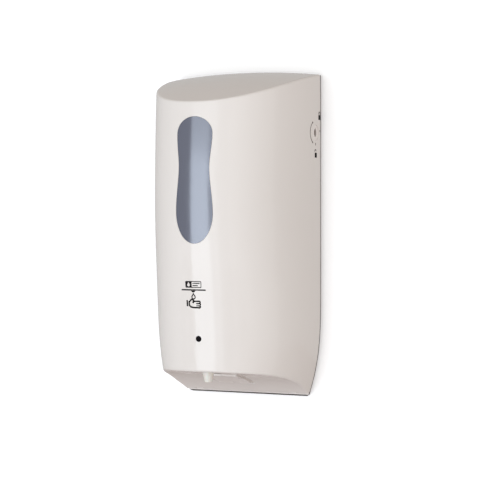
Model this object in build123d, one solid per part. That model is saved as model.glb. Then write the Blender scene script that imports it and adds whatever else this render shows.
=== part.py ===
from build123d import *
import math
import os

# Wall mounted automatic soap dispenser.  Millimetres.
# While modelling, x runs to the right, the wall is y = 0 with the front towards -y,
# and z is the height above the lower edge.  save() moves the origin to the centre
# of the wall screw pattern.

# ---- overall body ----
body_height = 280.0
body_half_width = 68.0
body_depth = 109.2
outline_power = 2.237        # superellipse exponent of the plan outline
wall = 2.5                   # moulded cover wall
low_draw_in = 10.9           # the sides draw in by this much at the lower edge
low_draw_height = 84.0       # height where the draw-in ends
low_draw_power = 2.5
low_set_back = 13.0          # the front sets back by this much at the lower edge
low_set_back_power = 1.65
top_set_back = 6.0           # and by this much at the upper edge
upper_zone = 112.0           # deepest section, below the upper edge
top_slope = 0.1352           # the top falls forward: linear and square terms
top_curl = 0.001491
top_crown_radius = 602.0     # side to side crown of the top
scoop_slope = 0.6476         # the underside climbs forward: linear, square, cube terms
scoop_flatten = -0.005425
scoop_lift = 0.00001784
crease_radius = 2.0
inset_lift = 1.1             # the sloping underside rises by this share of an inset
wall_corner_radius = 8.0     # lower corners seen from the front
outline_points = 13
loft_sections = 9

# ---- clearances ----
slip_gap = 0.15              # pieces that drop into each other
seat_gap = 0.1               # pieces seated face to face
shaft_gap = 0.05             # running fits, on the radius
cover_gap = 2.0              # between the cover and the housing

# ---- back plate and hinge ----
plate_thickness = 2.5
plate_inset = 0.6
plate_blank_shift = 1.0      # the blank runs past the wall plane and is cut flat there
rim_gap = 0.4                # between the plate and the cover's rim
bead_radius = 3.0            # round rear lower edge of the cover
bead_sink = 0.2              # the bead's circle crosses the underside by this much
hinge_pin_radius = 1.25
hinge_pin_length = 16.0
hinge_x = 44.0
lug_width = 6.0
lug_gap = 0.4
mount_spacing_x = 80.0
mount_from_top = 22.0        # upper wall screws, below the upper edge
mount_low_height = 132.0     # lower wall screws, above the lower edge
mount_hole_radius = 2.5
mount_boss_radius = 6.5
mount_boss_height = 1.5

# ---- window ----
window_from_top = 43.3
window_base = 133.1
window_upper_half = 16.0
window_waist_half = 13.9
window_lower_half = 16.7
window_upper_end = 14.2      # length of the rounded upper end
window_lower_end = 24.9
window_waist_from_top = 38.7     # waist below the window's top
window_flange = 3.0
window_flange_thickness = 1.4

# ---- indicator and lock on the cover ----
indicator_height = 55.3
indicator_radius = 2.4
indicator_flange = 1.2
lock_from_top = 54.0
lock_depth = 12.9            # from the wall
lock_radius = 6.5
lock_boss_radius = 8.8
lock_boss_length = 7.0
lock_spigot_radius = 3.0
lock_recess = 0.3
keyhole_height = 7.4
keyhole_width = 4.2
keyhole_sink = 3.0
cam_thickness = 2.4
cam_reach = 9.4
cam_half_width = 2.4
cam_hub_radius = 4.6
cam_screw_radius = 1.4
catch_thickness = 2.0
catch_overlap = 2.2
catch_gap = 0.7

# ---- nose: nozzle and sensor in the underside ----
nose_half_width = 16.5
nose_front = 86.5            # depths from the wall
nose_rear = 25.5
nose_side_gap = 0.6
nose_front_gap = 0.9
nose_rear_gap = 1.5
nozzle_depth = 80.7
nozzle_top_radius = 5.0
nozzle_tip_radius = 3.0
nozzle_bore_radius = 1.6
nozzle_tip_height = 18.5
nozzle_flange_radius = 7.0
nozzle_flange_thickness = 1.6
nozzle_stem_length = 4.5
sensor_depth = 64.5
sensor_half_width = 3.6
sensor_half_length = 3.4
pad_front = 58.5
pad_rear = 28.0
pad_half_width = 15.0
pad_proud = 1.2

# ---- inner housing ----
housing_wall = 2.0
deck_height = 112.0
deck_thickness = 2.5
housing_floor = 13.5
housing_screw_x = 36.0
housing_screw_heights = (20.0, 104.0)
screw_radius = 1.5
screw_head_radius = 2.8
screw_head_height = 1.8

# ---- soap bottle ----
bottle_inset = 8.0
bottle_half_width = 48.0
bottle_rear = 8.5
bottle_base = 116.0
bottle_from_top = 36.0
bottle_wall = 1.6
bottle_corner = 4.0
neck_depth = 50.0
neck_radius = 17.0
neck_height = 9.0
cap_radius = 20.5
cap_height = 12.0
cap_wall = 2.0
cap_lug_reach = 1.2
cap_lug_angle = 40.0
cap_grips = 24
dock_depth = 42.0
spigot_radius = 6.5
spigot_length = 13.0
spigot_bore = 4.0

# ---- pump ----
pump_depth = 72.0            # gear axes, from the wall
pump_height = 48.0           # underside of the pump body
pump_floor = 3.0
pump_wall = 3.0
gear_teeth = 14
gear_module = 1.0
gear_pressure = 25.0
gear_width = 8.0
gear_backlash = 0.2
gear_side_gap = 0.15
gear_tip_gap = 0.2
pump_lid_thickness = 3.0
shaft_radius = 1.5
port_radius = 2.2
motor_radius = 12.0
motor_length = 30.0
motor_nose = 1.8             # boss between the lid and the can
motor_flat = 9.6             # half the distance between the motor's two flats
hose_radius = 4.0
hose_bore = 2.6
hose_bend = 9.0
barb_length = 7.0
barb_height = 55.5

# ---- batteries ----
cell_radius = 7.1
cell_length = 49.0
cell_tip_radius = 2.6
cell_tip_length = 1.4
cell_spacing = 14.7
battery_base = 27.0
battery_inner = 22.0         # |x| of the compartment's inner wall
battery_rear = 7.5
battery_wall = 1.8
spring_thickness = 0.4
spring_width = 5.0
spring_length = 3.4
spring_gap = 0.1
contact_thickness = 0.4
door_thickness = 1.4
door_gap = 0.25
door_travel = 8.0
door_groove = 1.2
rib_half_width = 7.0         # finger ribs on the door

# ---- electronics ----
board_thickness = 1.6
board_depth = 10.5
board_left = 20.0
board_right = 52.0
board_low = 30.0
board_high = 96.0
post_stem_radius = 1.2
switch_height = 70.0
switch_travel = 4.0
led_radius = 1.5

gear_pitch_radius = gear_module * gear_teeth / 2
gear_tip_radius = gear_pitch_radius + 0.85 * gear_module
gear_root_radius = gear_pitch_radius - 1.2 * gear_module
origin_height = (mount_low_height + body_height - mount_from_top) / 2
rim_depth = plate_thickness + rim_gap
hinge_depth = rim_depth + bead_radius
lock_height = body_height - lock_from_top
bottle_top = body_height - bottle_from_top
far = 400.0


def block(x0, x1, y0, y1, z0, z1):
    """Box between two corners."""
    return Pos((x0 + x1) / 2, (y0 + y1) / 2, (z0 + z1) / 2) * Box(x1 - x0, y1 - y0, z1 - z0)


def rod_x(radius, x0, x1, y, z):
    """Cylinder along x."""
    return Pos((x0 + x1) / 2, y, z) * Rot(0, 90, 0) * Cylinder(radius, x1 - x0)


def rod_y(radius, x, y0, y1, z):
    """Cylinder along y."""
    return Pos(x, (y0 + y1) / 2, z) * Rot(90, 0, 0) * Cylinder(radius, y1 - y0)


def rod_z(radius, x, y, z0, z1):
    """Cylinder along z."""
    return Pos(x, y, (z0 + z1) / 2) * Cylinder(radius, z1 - z0)


def half_width_at(height):
    """Half width of the body at the wall."""
    left = max(0.0, 1 - height / low_draw_height)
    return body_half_width - low_draw_in * left ** low_draw_power


def depth_at(height):
    """Depth of the body on its centre line."""
    deepest = body_height - upper_zone
    if height >= deepest:
        rise = (height - deepest) / upper_zone
        return body_depth - top_set_back * rise ** 2
    fall = min(1.0, 1 - height / deepest)
    return body_depth - low_set_back * math.sin(math.pi / 2 * fall) ** low_set_back_power


def top_at(depth):
    """Height of the top surface on the centre line."""
    return body_height - top_slope * depth - top_curl * depth ** 2


def scoop_at(depth):
    """Height of the underside."""
    return scoop_slope * depth + scoop_flatten * depth ** 2 + scoop_lift * depth ** 3


def plan_section(height, inset):
    """Plan outline of the body at one height, drawn in by inset."""
    across = half_width_at(height) - inset
    out = depth_at(height) - inset
    points = []
    for i in range(outline_points):
        angle = math.pi * i / (outline_points - 1)
        side = math.copysign(abs(math.cos(angle)) ** (2 / outline_power), math.cos(angle))
        front = max(math.sin(angle), 0.0) ** (2 / outline_power)
        points.append((across * side, -out * front, height))
    edge = Spline(*points, tangents=[(0, -1, 0), (0, 1, 0)])
    return make_face([edge, Line(edge @ 1, edge @ 0)])


def body(inset):
    """Whole body as a solid, every surface drawn in by inset."""
    margin = 8.0
    step = (body_height + 2 * margin) / (loft_sections - 1)
    heights = [step * i - margin for i in range(loft_sections)]
    shape = loft([plan_section(height, inset) for height in heights])
    return shape - above_top(inset) - below_scoop(inset)


def above_top(inset):
    """Everything above the crowned, forward falling top."""
    rear, front = -10.0, body_depth + 20.0
    middle = (rear + front) / 2
    top_mid = top_at(rear) - (top_slope + 2 * top_curl * rear) * (front - rear) / 2
    edge = Bezier((0, -rear, top_at(rear) - inset), (0, -middle, top_mid - inset),
                  (0, -front, top_at(front) - inset))
    high = body_height + 40.0
    sky = Polyline(edge @ 1, (0, -front, high), (0, -rear, high), edge @ 0)
    face = make_face([edge, *sky.edges()])
    axis = Axis((0, 0, body_height - top_crown_radius), (0, 1, 0))
    swing = 12.0
    return revolve(face.rotate(axis, -swing), axis, 2 * swing)


def scoop_curve(inset, x):
    """Underside outline in a plane of constant x."""
    rear, front = -10.0, body_depth + 20.0
    lift = inset * inset_lift

    def slope(depth):
        return scoop_slope + 2 * scoop_flatten * depth + 3 * scoop_lift * depth ** 2

    third = (front - rear) / 3
    start = (x, -rear, scoop_at(rear) + lift)
    second = (x, -rear - third, scoop_at(rear) + slope(rear) * third + lift)
    later = (x, -front + third, scoop_at(front) - slope(front) * third + lift)
    end = (x, -front, scoop_at(front) + lift)
    return Bezier(start, second, later, end)


def below_scoop(inset):
    """Everything below the scooped underside, and the rounded lower corners at the wall."""
    edge_x = body_half_width + 30.0
    edge = scoop_curve(inset, -edge_x)
    low = -60.0
    ground = Polyline(edge @ 1, (-edge_x, (edge @ 1).Y, low), (-edge_x, (edge @ 0).Y, low), edge @ 0)
    shape = extrude(make_face([edge, *ground.edges()]), 2 * edge_x, dir=(1, 0, 0))
    centre_x = half_width_at(wall_corner_radius) - wall_corner_radius
    for side in (-1, 1):
        corner = block(centre_x, centre_x + 30, -body_depth, 10, -20, wall_corner_radius)
        corner -= rod_y(max(wall_corner_radius - inset, 1.0), centre_x, -body_depth - 1, 11, wall_corner_radius)
        shape += corner if side > 0 else mirror(corner, Plane.YZ)
    return shape


def hinge_axis_height():
    """Height that puts the bead against the underside."""
    slope = scoop_slope + 2 * scoop_flatten * hinge_depth
    return scoop_at(hinge_depth) + (bead_radius - bead_sink) * math.sqrt(1 + slope ** 2)


hinge_height = hinge_axis_height()


def lock_face():
    """x of the cover's surface at the lock."""
    share = (lock_depth / depth_at(lock_height)) ** outline_power
    return half_width_at(lock_height) * (1 - share) ** (1 / outline_power)


def window_outline(grow):
    """Waisted window outline in the plane y = 0, grown by grow."""
    top = body_height - window_from_top + grow
    upper = body_height - window_from_top - window_upper_end
    lower = window_base + window_lower_end
    waist = body_height - window_from_top - window_waist_from_top
    plane = Plane.XZ
    with BuildSketch(plane) as outline:
        with BuildLine(plane):
            upper_half = window_upper_half + grow
            lower_half = window_lower_half + grow
            EllipticalCenterArc((0, upper), upper_half, top - upper, start_angle=0, arc_size=180)
            EllipticalCenterArc((0, lower), lower_half, lower - window_base + grow,
                                start_angle=180, arc_size=180)
            for side in (-1, 1):
                Spline((side * upper_half, upper), (side * (window_waist_half + grow), waist),
                       (side * lower_half, lower), tangents=[(0, -1), (0, -1)])
        make_face()
    return outline.sketch


def window_prism(grow):
    """The window outline run through the front of the cover."""
    return extrude(window_outline(grow), body_depth + 20.0, dir=(0, -1, 0)) & block(
        -far, far, -far, -body_depth / 2, -far, far)


def hinge_block(x0, x1, radius):
    """Rounded hinge lug from the axis back to the plate."""
    round_end = rod_x(radius, x0, x1, -hinge_depth, hinge_height)
    web = block(x0, x1, -hinge_depth, -plate_thickness, hinge_height - radius, hinge_height + radius)
    return round_end + web


def front_cover():
    """One moulded shell with window, lens, lock and nose openings."""
    outer = body(0)
    creases = outer.edges().filter_by(lambda e: e.center().Y < -20 and e.length > 100)
    outer = fillet(creases, crease_radius)
    bead = rod_x(bead_radius, -far, far, -hinge_depth, hinge_height) & outer
    shape = outer - body(wall)
    # the corner behind the bead goes, so that the rim can swing past the plate
    slope = math.atan(scoop_slope + 2 * scoop_flatten * hinge_depth)
    reach = 30.0
    low_y = -hinge_depth - reach * math.sin(slope)
    low_z = hinge_height - reach * math.cos(slope)
    wedge = Polyline((-far, -hinge_depth, hinge_height), (-far, low_y, low_z), (-far, reach, low_z),
                     (-far, reach, hinge_height), close=True)
    behind = extrude(make_face(wedge), 2 * far, dir=(1, 0, 0))
    shape -= behind - rod_x(bead_radius, -far, far, -hinge_depth, hinge_height)
    shape += bead
    shape -= block(-far, far, -rim_depth, far, -far, far)
    for side in (-1, 1):
        x0 = side * hinge_x - lug_width / 2 - lug_gap
        x1 = side * hinge_x + lug_width / 2 + lug_gap
        notch_radius = bead_radius + lug_gap
        shape -= rod_x(notch_radius, x0, x1, -hinge_depth, hinge_height)
        shape -= block(x0, x1, -hinge_depth, 0, hinge_height - notch_radius - 1, hinge_height + notch_radius)
        half = hinge_pin_length / 2
        shape -= rod_x(hinge_pin_radius + 0.02, side * hinge_x - half - seat_gap,
                       side * hinge_x + half + seat_gap, -hinge_depth, hinge_height)
    shape -= window_prism(0)
    shape -= rod_y(indicator_radius + slip_gap, 0, -far, -body_depth / 2, indicator_height)
    face = lock_face()
    boss = rod_x(lock_boss_radius, face - wall - lock_boss_length, face - 1, -lock_depth, lock_height)
    shape += boss & block(0, face - 1, -far, -rim_depth, 0, far)
    shape -= rod_x(lock_radius + shaft_gap, face - far, face + 9, -lock_depth, lock_height) & block(
        face - wall - lock_boss_length - 1, face + 9, -far, far, 0, far)
    nose = block(-nose_half_width - nose_side_gap, nose_half_width + nose_side_gap,
                 -nose_front - nose_front_gap, -nose_rear + nose_rear_gap, -10, 60)
    return shape - nose


def window_lens():
    """Tinted lens, flush outside, with a flange behind the opening."""
    depth_in = wall + seat_gap + window_flange_thickness
    skin = body(0) - body(depth_in)
    plug = skin & window_prism(-slip_gap)
    flange = (body(wall + seat_gap) - body(depth_in)) & window_prism(window_flange)
    return plug + flange


def indicator_lens():
    """Light pipe pressed in the front of the cover."""
    front = depth_at(indicator_height)
    inner = front - wall
    back = -inner + 2 * slip_gap
    stem = rod_y(indicator_radius, 0, -front - 0.2, back + indicator_flange, indicator_height)
    head = rod_y(indicator_radius + indicator_flange, 0, back, back + indicator_flange, indicator_height)
    return stem + head


def hinge_pins():
    """Two steel pins pressed in the cover's bead."""
    half = hinge_pin_length / 2
    return [rod_x(hinge_pin_radius, side * hinge_x - half, side * hinge_x + half, -hinge_depth, hinge_height)
            for side in (-1, 1)]


def lock_barrel():
    """Key operated plug with an oval keyhole."""
    face = lock_face() - lock_recess
    back = lock_face() - wall - lock_boss_length
    shape = rod_x(lock_radius, back, face, -lock_depth, lock_height)
    shape += rod_x(lock_spigot_radius, back - cam_thickness, back, -lock_depth, lock_height)
    keyhole = Pos(face, -lock_depth, lock_height) * Rot(0, 90, 0) * extrude(
        Ellipse(keyhole_height / 2, keyhole_width / 2), -keyhole_sink)
    pilot = rod_x(cam_screw_radius * 0.8, back - cam_thickness - 1, back + 4, -lock_depth, lock_height)
    return shape - keyhole - pilot


def cam_x():
    """x range of the lock cam."""
    back = lock_face() - wall - lock_boss_length
    return back - cam_thickness, back - seat_gap


def lock_cam():
    """Lever on the barrel.  Unlocked, it stands up; locked, it points down behind the catch."""
    x0, x1 = cam_x()
    shape = rod_x(cam_hub_radius, x0, x1, -lock_depth, lock_height)
    shape += block(x0, x1, -lock_depth - cam_half_width, -lock_depth + cam_half_width, lock_height,
                   lock_height + cam_reach - 0.5)
    return shape - rod_x(lock_spigot_radius + 0.02, x0 - 1, x1 + 1, -lock_depth, lock_height)


def lock_cam_screw():
    """Screw that holds the cam on the barrel."""
    x0, _ = cam_x()
    shape = rod_x(cam_screw_radius * 0.75, x0 - 0.5, x0 + 5, -lock_depth, lock_height)
    return shape + rod_x(lock_spigot_radius + 1, x0 - screw_head_height, x0 - 0.05, -lock_depth, lock_height)


def back_plate():
    """Wall plate with hinge lugs, lock catch, screw bosses and bottle guides."""
    shape = Pos(0, plate_blank_shift, 0) * body(plate_inset) & block(-far, far, -plate_thickness, 0, -far, far)
    for side in (-1, 1):
        shape += hinge_block(side * hinge_x - lug_width / 2, side * hinge_x + lug_width / 2,
                             bead_radius - 0.3)
    shape -= rod_x(hinge_pin_radius + shaft_gap, -far, far, -hinge_depth, hinge_height)
    x0, x1 = cam_x()
    low = lock_height - cam_reach - catch_gap - catch_thickness
    front = lock_depth + cam_half_width + catch_gap + catch_thickness
    shape += block(x0 - 1, x1 - 0.3, -front, -plate_thickness, low, low + catch_thickness)
    shape += block(x0 - 1, x1 - 0.3, -front, -front + catch_thickness, low,
                   lock_height - cam_reach + catch_overlap)
    for x, z in mount_points():
        shape += rod_y(mount_boss_radius, x, -plate_thickness - mount_boss_height, -plate_thickness, z)
        shape -= rod_y(mount_hole_radius, x, -far, 1, z)
    for side in (-1, 1):
        rib = bottle_half_width + 0.6
        shape += block(*sorted((side * rib, side * (rib + 2))), -16, -plate_thickness,
                       deck_height + 6, lock_height - 40)
        for z in housing_screw_heights:
            shape -= rod_y(screw_radius - 0.3, side * housing_screw_x, -far, 1, z)
    return shape


def mount_points():
    """Wall screw positions."""
    return [(side * mount_spacing_x / 2, z) for side in (-1, 1)
            for z in (mount_low_height, body_height - mount_from_top)]


def nose_prism(shrink):
    """Column that fills the cover's nose opening."""
    return block(-nose_half_width + shrink, nose_half_width - shrink, -nose_front + shrink,
                 -nose_rear - shrink, -10, 60)


def screw_bosses(x, z):
    """Housing boss round one screw."""
    return rod_y(screw_head_radius + 1.2, x, -plate_thickness - 9, -plate_thickness - seat_gap, z)


def inner_housing():
    """Lower housing: shelf for the bottle, nose with nozzle and sensor openings."""
    skin = wall + cover_gap
    region = block(-far, far, -far, -plate_thickness - seat_gap, housing_floor, deck_height)
    hollow = block(-far, far, -far, far, housing_floor + housing_wall, deck_height - deck_thickness)
    outer = (body(skin) & region) + (body(0) & nose_prism(0) & region)
    inner = (body(skin + housing_wall) & hollow) + (body(housing_wall) & nose_prism(housing_wall) & hollow)
    shape = outer - inner
    for side in (-1, 1):
        for z in housing_screw_heights:
            shape += screw_bosses(side * housing_screw_x, z) & outer
            shape += block(side * housing_screw_x - 1, side * housing_screw_x + 1, -plate_thickness - 9,
                           -plate_thickness - seat_gap, *rib_to_wall(z)) & outer
            shape -= rod_y(screw_radius + 0.1, side * housing_screw_x, -far, 1, z) & block(
                -far, far, -plate_thickness - 10, 0, 0, far)
    # openings: bottle dock, nozzle, sensor window, pad, indicator light, battery door, switch
    shape -= rod_z(dock_radius() + slip_gap, 0, -dock_depth, deck_height - 10, deck_height + 10)
    shape -= rod_z(nozzle_top_radius + slip_gap, 0, -nozzle_depth, 0, nozzle_flange_base())
    shape -= sensor_column(slip_gap)
    shape -= block(-4.5, 4.5, -far, -nose_front - 1, indicator_height - 4, indicator_height + 4)
    x_side = body_half_width + 10
    shape -= block(-x_side, -battery_outer() + 4.0, -battery_front() - 1.5, -battery_rear + 4.0,
                   battery_base - 3.0, battery_top() + door_travel + 3.0)
    shape -= block(board_right, x_side, -board_depth - 8.5, -board_depth + 2.5,
                   switch_height - 5, switch_height + switch_travel + 5)
    return shape


def rib_to_wall(z):
    """Height range of the rib that ties a screw boss to the nearest housing wall."""
    if z < deck_height / 2:
        return housing_floor, z
    return z, deck_height


def sensor_column(grow):
    """Column of the sensor window."""
    return block(-sensor_half_width - grow, sensor_half_width + grow, -sensor_depth - sensor_half_length - grow,
                 -sensor_depth + sensor_half_length + grow, -10, 45)


def sensor_window():
    """Dark infrared window behind the nozzle, with a flange inside the nose."""
    depth_in = housing_wall + seat_gap
    plug = (body(0) - body(depth_in + 1.2)) & sensor_column(0)
    flange = (body(depth_in) - body(depth_in + 1.2)) & sensor_column(1.2)
    return plug + flange


def sensor_pad():
    """Light coloured cover plate of the sensor, proud of the nose."""
    column = block(-pad_half_width, pad_half_width, -pad_front, -pad_rear, -10, 45)
    raised = body(-pad_proud) - body(-0.05)
    return raised & column


def nozzle():
    """White outlet cone held in the nose."""
    flange_base = nozzle_flange_base()
    cone_top = scoop_at(nozzle_depth)
    cone = Pos(0, -nozzle_depth, (nozzle_tip_height + cone_top) / 2) * Cone(
        nozzle_tip_radius, nozzle_top_radius, cone_top - nozzle_tip_height)
    barrel = rod_z(nozzle_top_radius, 0, -nozzle_depth, cone_top, flange_base)
    flange_top = flange_base + nozzle_flange_thickness
    flange = rod_z(nozzle_flange_radius, 0, -nozzle_depth, flange_base, flange_top)
    stem = rod_z(hose_bore, 0, -nozzle_depth, flange_top, flange_top + nozzle_stem_length)
    bore = rod_z(nozzle_bore_radius, 0, -nozzle_depth, 0, far)
    return cone + barrel + flange + stem - bore


def nozzle_flange_base():
    """The nozzle's flange rests on the housing floor in front of the nose."""
    floor = (wall + cover_gap + housing_wall) * inset_lift
    return scoop_at(nozzle_depth + nozzle_flange_radius) + floor + seat_gap


def outlet_tube():
    """Short silicone tube from the pump to the nozzle."""
    base = nozzle_flange_base() + nozzle_flange_thickness + seat_gap
    shape = rod_z(hose_radius, 0, -nozzle_depth, base, pump_height - seat_gap)
    return shape - rod_z(hose_bore + shaft_gap, 0, -nozzle_depth, 0, far)


def pump_box(z0, z1, grow=0.0):
    """Block round the two gears and the front port."""
    half_x = gear_pitch_radius + gear_tip_radius + gear_tip_gap + pump_wall + grow
    half_y = gear_tip_radius + gear_tip_gap + pump_wall
    return block(-half_x, half_x, -pump_depth - half_y - 3 - grow, -pump_depth + half_y + grow, z0, z1)


def pump_chamber_base():
    """Height of the pump chamber's floor."""
    return pump_height + pump_floor


def pump_top():
    """Height of the joint between the pump body and its lid."""
    return pump_chamber_base() + gear_width + 2 * gear_side_gap


def pump_screw_points():
    """Corners of the pump where its screws go."""
    half_x = gear_pitch_radius + gear_tip_radius + gear_tip_gap + pump_wall - 2.4
    y_front = pump_depth + gear_tip_radius + gear_tip_gap + pump_wall + 3 - 2.4
    y_rear = pump_depth - gear_tip_radius - gear_tip_gap - pump_wall + 2.4
    return [(side * half_x, -y) for side in (-1, 1) for y in (y_front, y_rear)]


def pump_body():
    """Pump block with the gear chamber, the ports and the inlet barb."""
    shape = pump_box(pump_height, pump_top())
    for side in (-1, 1):
        shape -= rod_z(gear_tip_radius + gear_tip_gap, side * gear_pitch_radius, -pump_depth,
                       pump_chamber_base(), pump_top() + 1)
    shape -= block(-port_radius, port_radius, -nozzle_depth - port_radius, -pump_depth,
                   pump_chamber_base(), pump_top() + 1)
    shape -= rod_z(port_radius, 0, -nozzle_depth, 0, pump_top() - 2)
    y_rear = -pump_depth + gear_tip_radius + gear_tip_gap + pump_wall
    shape += rod_y(hose_bore - 0.1, 0, y_rear - 1, y_rear + barb_length, barb_height)
    shape -= rod_y(1.8, 0, -pump_depth, y_rear + barb_length + 1, barb_height)
    shape += rod_z(hose_bore - shaft_gap, 0, -nozzle_depth, pump_height - 5, pump_height + 1)
    shape -= rod_z(nozzle_bore_radius, 0, -nozzle_depth, 0, pump_height + pump_floor + 1)
    for x, y in pump_screw_points():
        shape -= rod_z(0.9, x, y, pump_top() - 7, pump_top() + 1)
    shape -= rod_z(shaft_radius + shaft_gap, gear_pitch_radius, -pump_depth, pump_height + 1.2, far)
    shape -= rod_z(shaft_radius + shaft_gap, -gear_pitch_radius, -pump_depth, pump_height + 1.2, far)
    # feet that stand on the nose's floor
    for side in (-1, 1):
        shape += block(side * 13 - 1.5, side * 13 + 1.5, -pump_depth - 4, -pump_depth + 4,
                       nose_floor_height() + 0.2, pump_height)
    return shape


def nose_floor_height():
    """Highest point of the nose floor under the pump's feet."""
    return scoop_at(pump_depth + 4) + housing_wall * 1.1


def pump_lid():
    """Lid over the gears, bored for the drive shaft."""
    base = pump_top() + 0.05
    shape = pump_box(base, base + pump_lid_thickness)
    shape -= rod_z(shaft_radius + shaft_gap, gear_pitch_radius, -pump_depth, 0, far)
    shape -= rod_z(shaft_radius + shaft_gap, -gear_pitch_radius, -pump_depth, 0, base + 1.5)
    for x, y in pump_screw_points():
        shape -= rod_z(1.2, x, y, 0, far)
    return shape


def pump_screws():
    """Four screws through the lid."""
    top = pump_top() + 0.05 + pump_lid_thickness + 0.05
    screws = []
    for x, y in pump_screw_points():
        screws.append(rod_z(0.85, x, y, top - 8, top) + rod_z(2.0, x, y, top, top + 1.4))
    return screws


def involute_gear(turn):
    """Flat involute gear outline, turned by turn degrees."""
    base_radius = gear_pitch_radius * math.cos(math.radians(gear_pressure))

    def roll(radius):
        angle = math.acos(min(1.0, base_radius / radius))
        return math.tan(angle) - angle

    half_tooth = math.pi / (2 * gear_teeth) - gear_backlash / (4 * gear_pitch_radius)
    flank = [base_radius + (gear_tip_radius - base_radius) * i / 4 for i in range(5)]
    points = []
    for tooth in range(gear_teeth):
        centre = math.radians(turn) + 2 * math.pi * tooth / gear_teeth
        start = half_tooth + roll(gear_pitch_radius)
        side = [(gear_root_radius, start)] + [(radius, start - roll(radius)) for radius in flank]
        points += [polar(radius, centre - angle) for radius, angle in side]
        points += [polar(radius, centre + angle) for radius, angle in reversed(side)]
    return make_face(Polyline(*points, close=True))


def polar(radius, angle):
    """Point in the plane from radius and angle."""
    return radius * math.cos(angle), radius * math.sin(angle)


def gear(side, turn):
    """Pump gear on one side of the mesh."""
    base = pump_chamber_base() + gear_side_gap
    return Pos(side * gear_pitch_radius, -pump_depth, base) * extrude(involute_gear(turn), gear_width)


def drive_gear():
    """Driven by the motor through its own shaft."""
    motor_base = pump_top() + pump_lid_thickness + 0.1
    shaft = rod_z(shaft_radius, gear_pitch_radius, -pump_depth, pump_height + 1.4, motor_base + 9)
    return gear(1, 0) + shaft


def idler_gear():
    """Follows the drive gear on its own stub shaft."""
    shaft = rod_z(shaft_radius, -gear_pitch_radius, -pump_depth, pump_height + 1.4, pump_top() + 1.4)
    return gear(-1, 180.0 / gear_teeth) + shaft


def motor():
    """Small direct current motor on the pump lid."""
    base = pump_top() + pump_lid_thickness + 0.1
    x, y = gear_pitch_radius, -pump_depth
    can = rod_z(motor_radius, x, y, base + motor_nose, base + motor_length)
    can &= block(x - motor_radius, x + motor_radius, y - motor_flat, y + motor_flat, 0, far)
    can += rod_z(5.0, x, y, base, base + motor_nose + 1)
    boss = rod_z(4.0, x, y, base + motor_length, base + motor_length + 2.0)
    shape = can + boss
    for side in (-1, 1):
        shape += block(x - 0.4, x + 0.4, y + side * 6 - 1.2, y + side * 6 + 1.2, base + motor_length - 0.5,
                       base + motor_length + 4.0)
    return shape - rod_z(shaft_radius + shaft_gap, x, y, 0, base + 10)


def dock_radius():
    """Outer radius of the bottle dock's cup."""
    return spigot_radius + 0.7 + 1.8


def bottle_dock():
    """Cup under the bottle's outlet, with a barb for the inlet hose."""
    flange_base = deck_height + 0.1
    cup_base = deck_height - 13.0
    shape = rod_z(dock_radius() + 3.5, 0, -dock_depth, flange_base, flange_base + 1.6)
    shape += rod_z(dock_radius(), 0, -dock_depth, cup_base, flange_base + 1.0)
    shape -= rod_z(spigot_radius + 0.7, 0, -dock_depth, cup_base + 2.0, far)
    shape += rod_z(hose_bore - 0.1, 0, -dock_depth, cup_base - barb_length, cup_base + 1)
    return shape - rod_z(1.8, 0, -dock_depth, 0, far)


def dock_seal():
    """Rubber ring between the spigot and the cup."""
    middle = spigot_radius + 0.35
    return Pos(0, -dock_depth, deck_height - 5.0) * Torus(middle, 0.33)


def inlet_hose():
    """Hose from the dock down and forward into the pump."""
    top = (0, -dock_depth, deck_height - 13.0 - 0.3)
    corner = (0, -dock_depth, barb_height)
    y_rear = -pump_depth + gear_tip_radius + gear_tip_gap + pump_wall
    end = (0, y_rear + 0.3, barb_height)
    route = FilletPolyline(top, corner, end, radius=hose_bend)
    outer = sweep(Plane(origin=top, z_dir=(0, 0, -1)) * Circle(hose_radius), path=route)
    inner = sweep(Plane(origin=top, z_dir=(0, 0, -1)) * Circle(hose_bore), path=route)
    return outer - inner


def bottle_solid(inset, half_width, rear, low, high):
    """Bottle shape that follows the cover's front."""
    return body(inset) & block(-half_width, half_width, -far, -rear, low, high)


def soap_bottle():
    """Refillable bottle with a neck on top and an outlet spigot below."""
    outer = bottle_solid(bottle_inset, bottle_half_width, bottle_rear, bottle_base, bottle_top)
    outer = fillet(outer.edges().filter_by(lambda e: e.length > 15), bottle_corner)
    inner = bottle_solid(bottle_inset + bottle_wall, bottle_half_width - bottle_wall, bottle_rear + bottle_wall,
                         bottle_base + bottle_wall, bottle_top - bottle_wall)
    inner = fillet(inner.edges().filter_by(lambda e: e.length > 15), bottle_corner - bottle_wall)
    neck = rod_z(neck_radius, 0, -neck_depth, bottle_top - 1.0, bottle_top + neck_height)
    mouth = rod_z(neck_radius - 2.0, 0, -neck_depth, bottle_top - 5.0, bottle_top + neck_height + 1)
    spigot = rod_z(spigot_radius, 0, -dock_depth, bottle_base - spigot_length, bottle_base + 1.0)
    spigot += rod_z(spigot_radius + 3, 0, -dock_depth, bottle_base - 1.0, bottle_base + 1.0)
    seal_groove = Pos(0, -dock_depth, deck_height - 5.0) * Torus(spigot_radius + 0.35, 0.36)
    outlet = rod_z(spigot_bore, 0, -dock_depth, bottle_base - spigot_length - 1, bottle_base + 5.0)
    lugs = cap_lugs(bottle_top + 5.0, bottle_top + 6.5)
    return outer + neck + spigot - inner - mouth - outlet - seal_groove + lugs


def cap_lugs(z0, z1, grow=0.0):
    """Two bayonet lugs on the neck."""
    ring = rod_z(neck_radius + cap_lug_reach + grow, 0, -neck_depth, z0 - grow, z1 + grow)
    ring -= rod_z(neck_radius - 0.5, 0, -neck_depth, 0, far)
    width = 2 * neck_radius * math.sin(math.radians(cap_lug_angle) / 2) + 2 * grow
    return ring & block(-far, far, -neck_depth - width / 2, -neck_depth + width / 2, 0, far)


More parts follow.
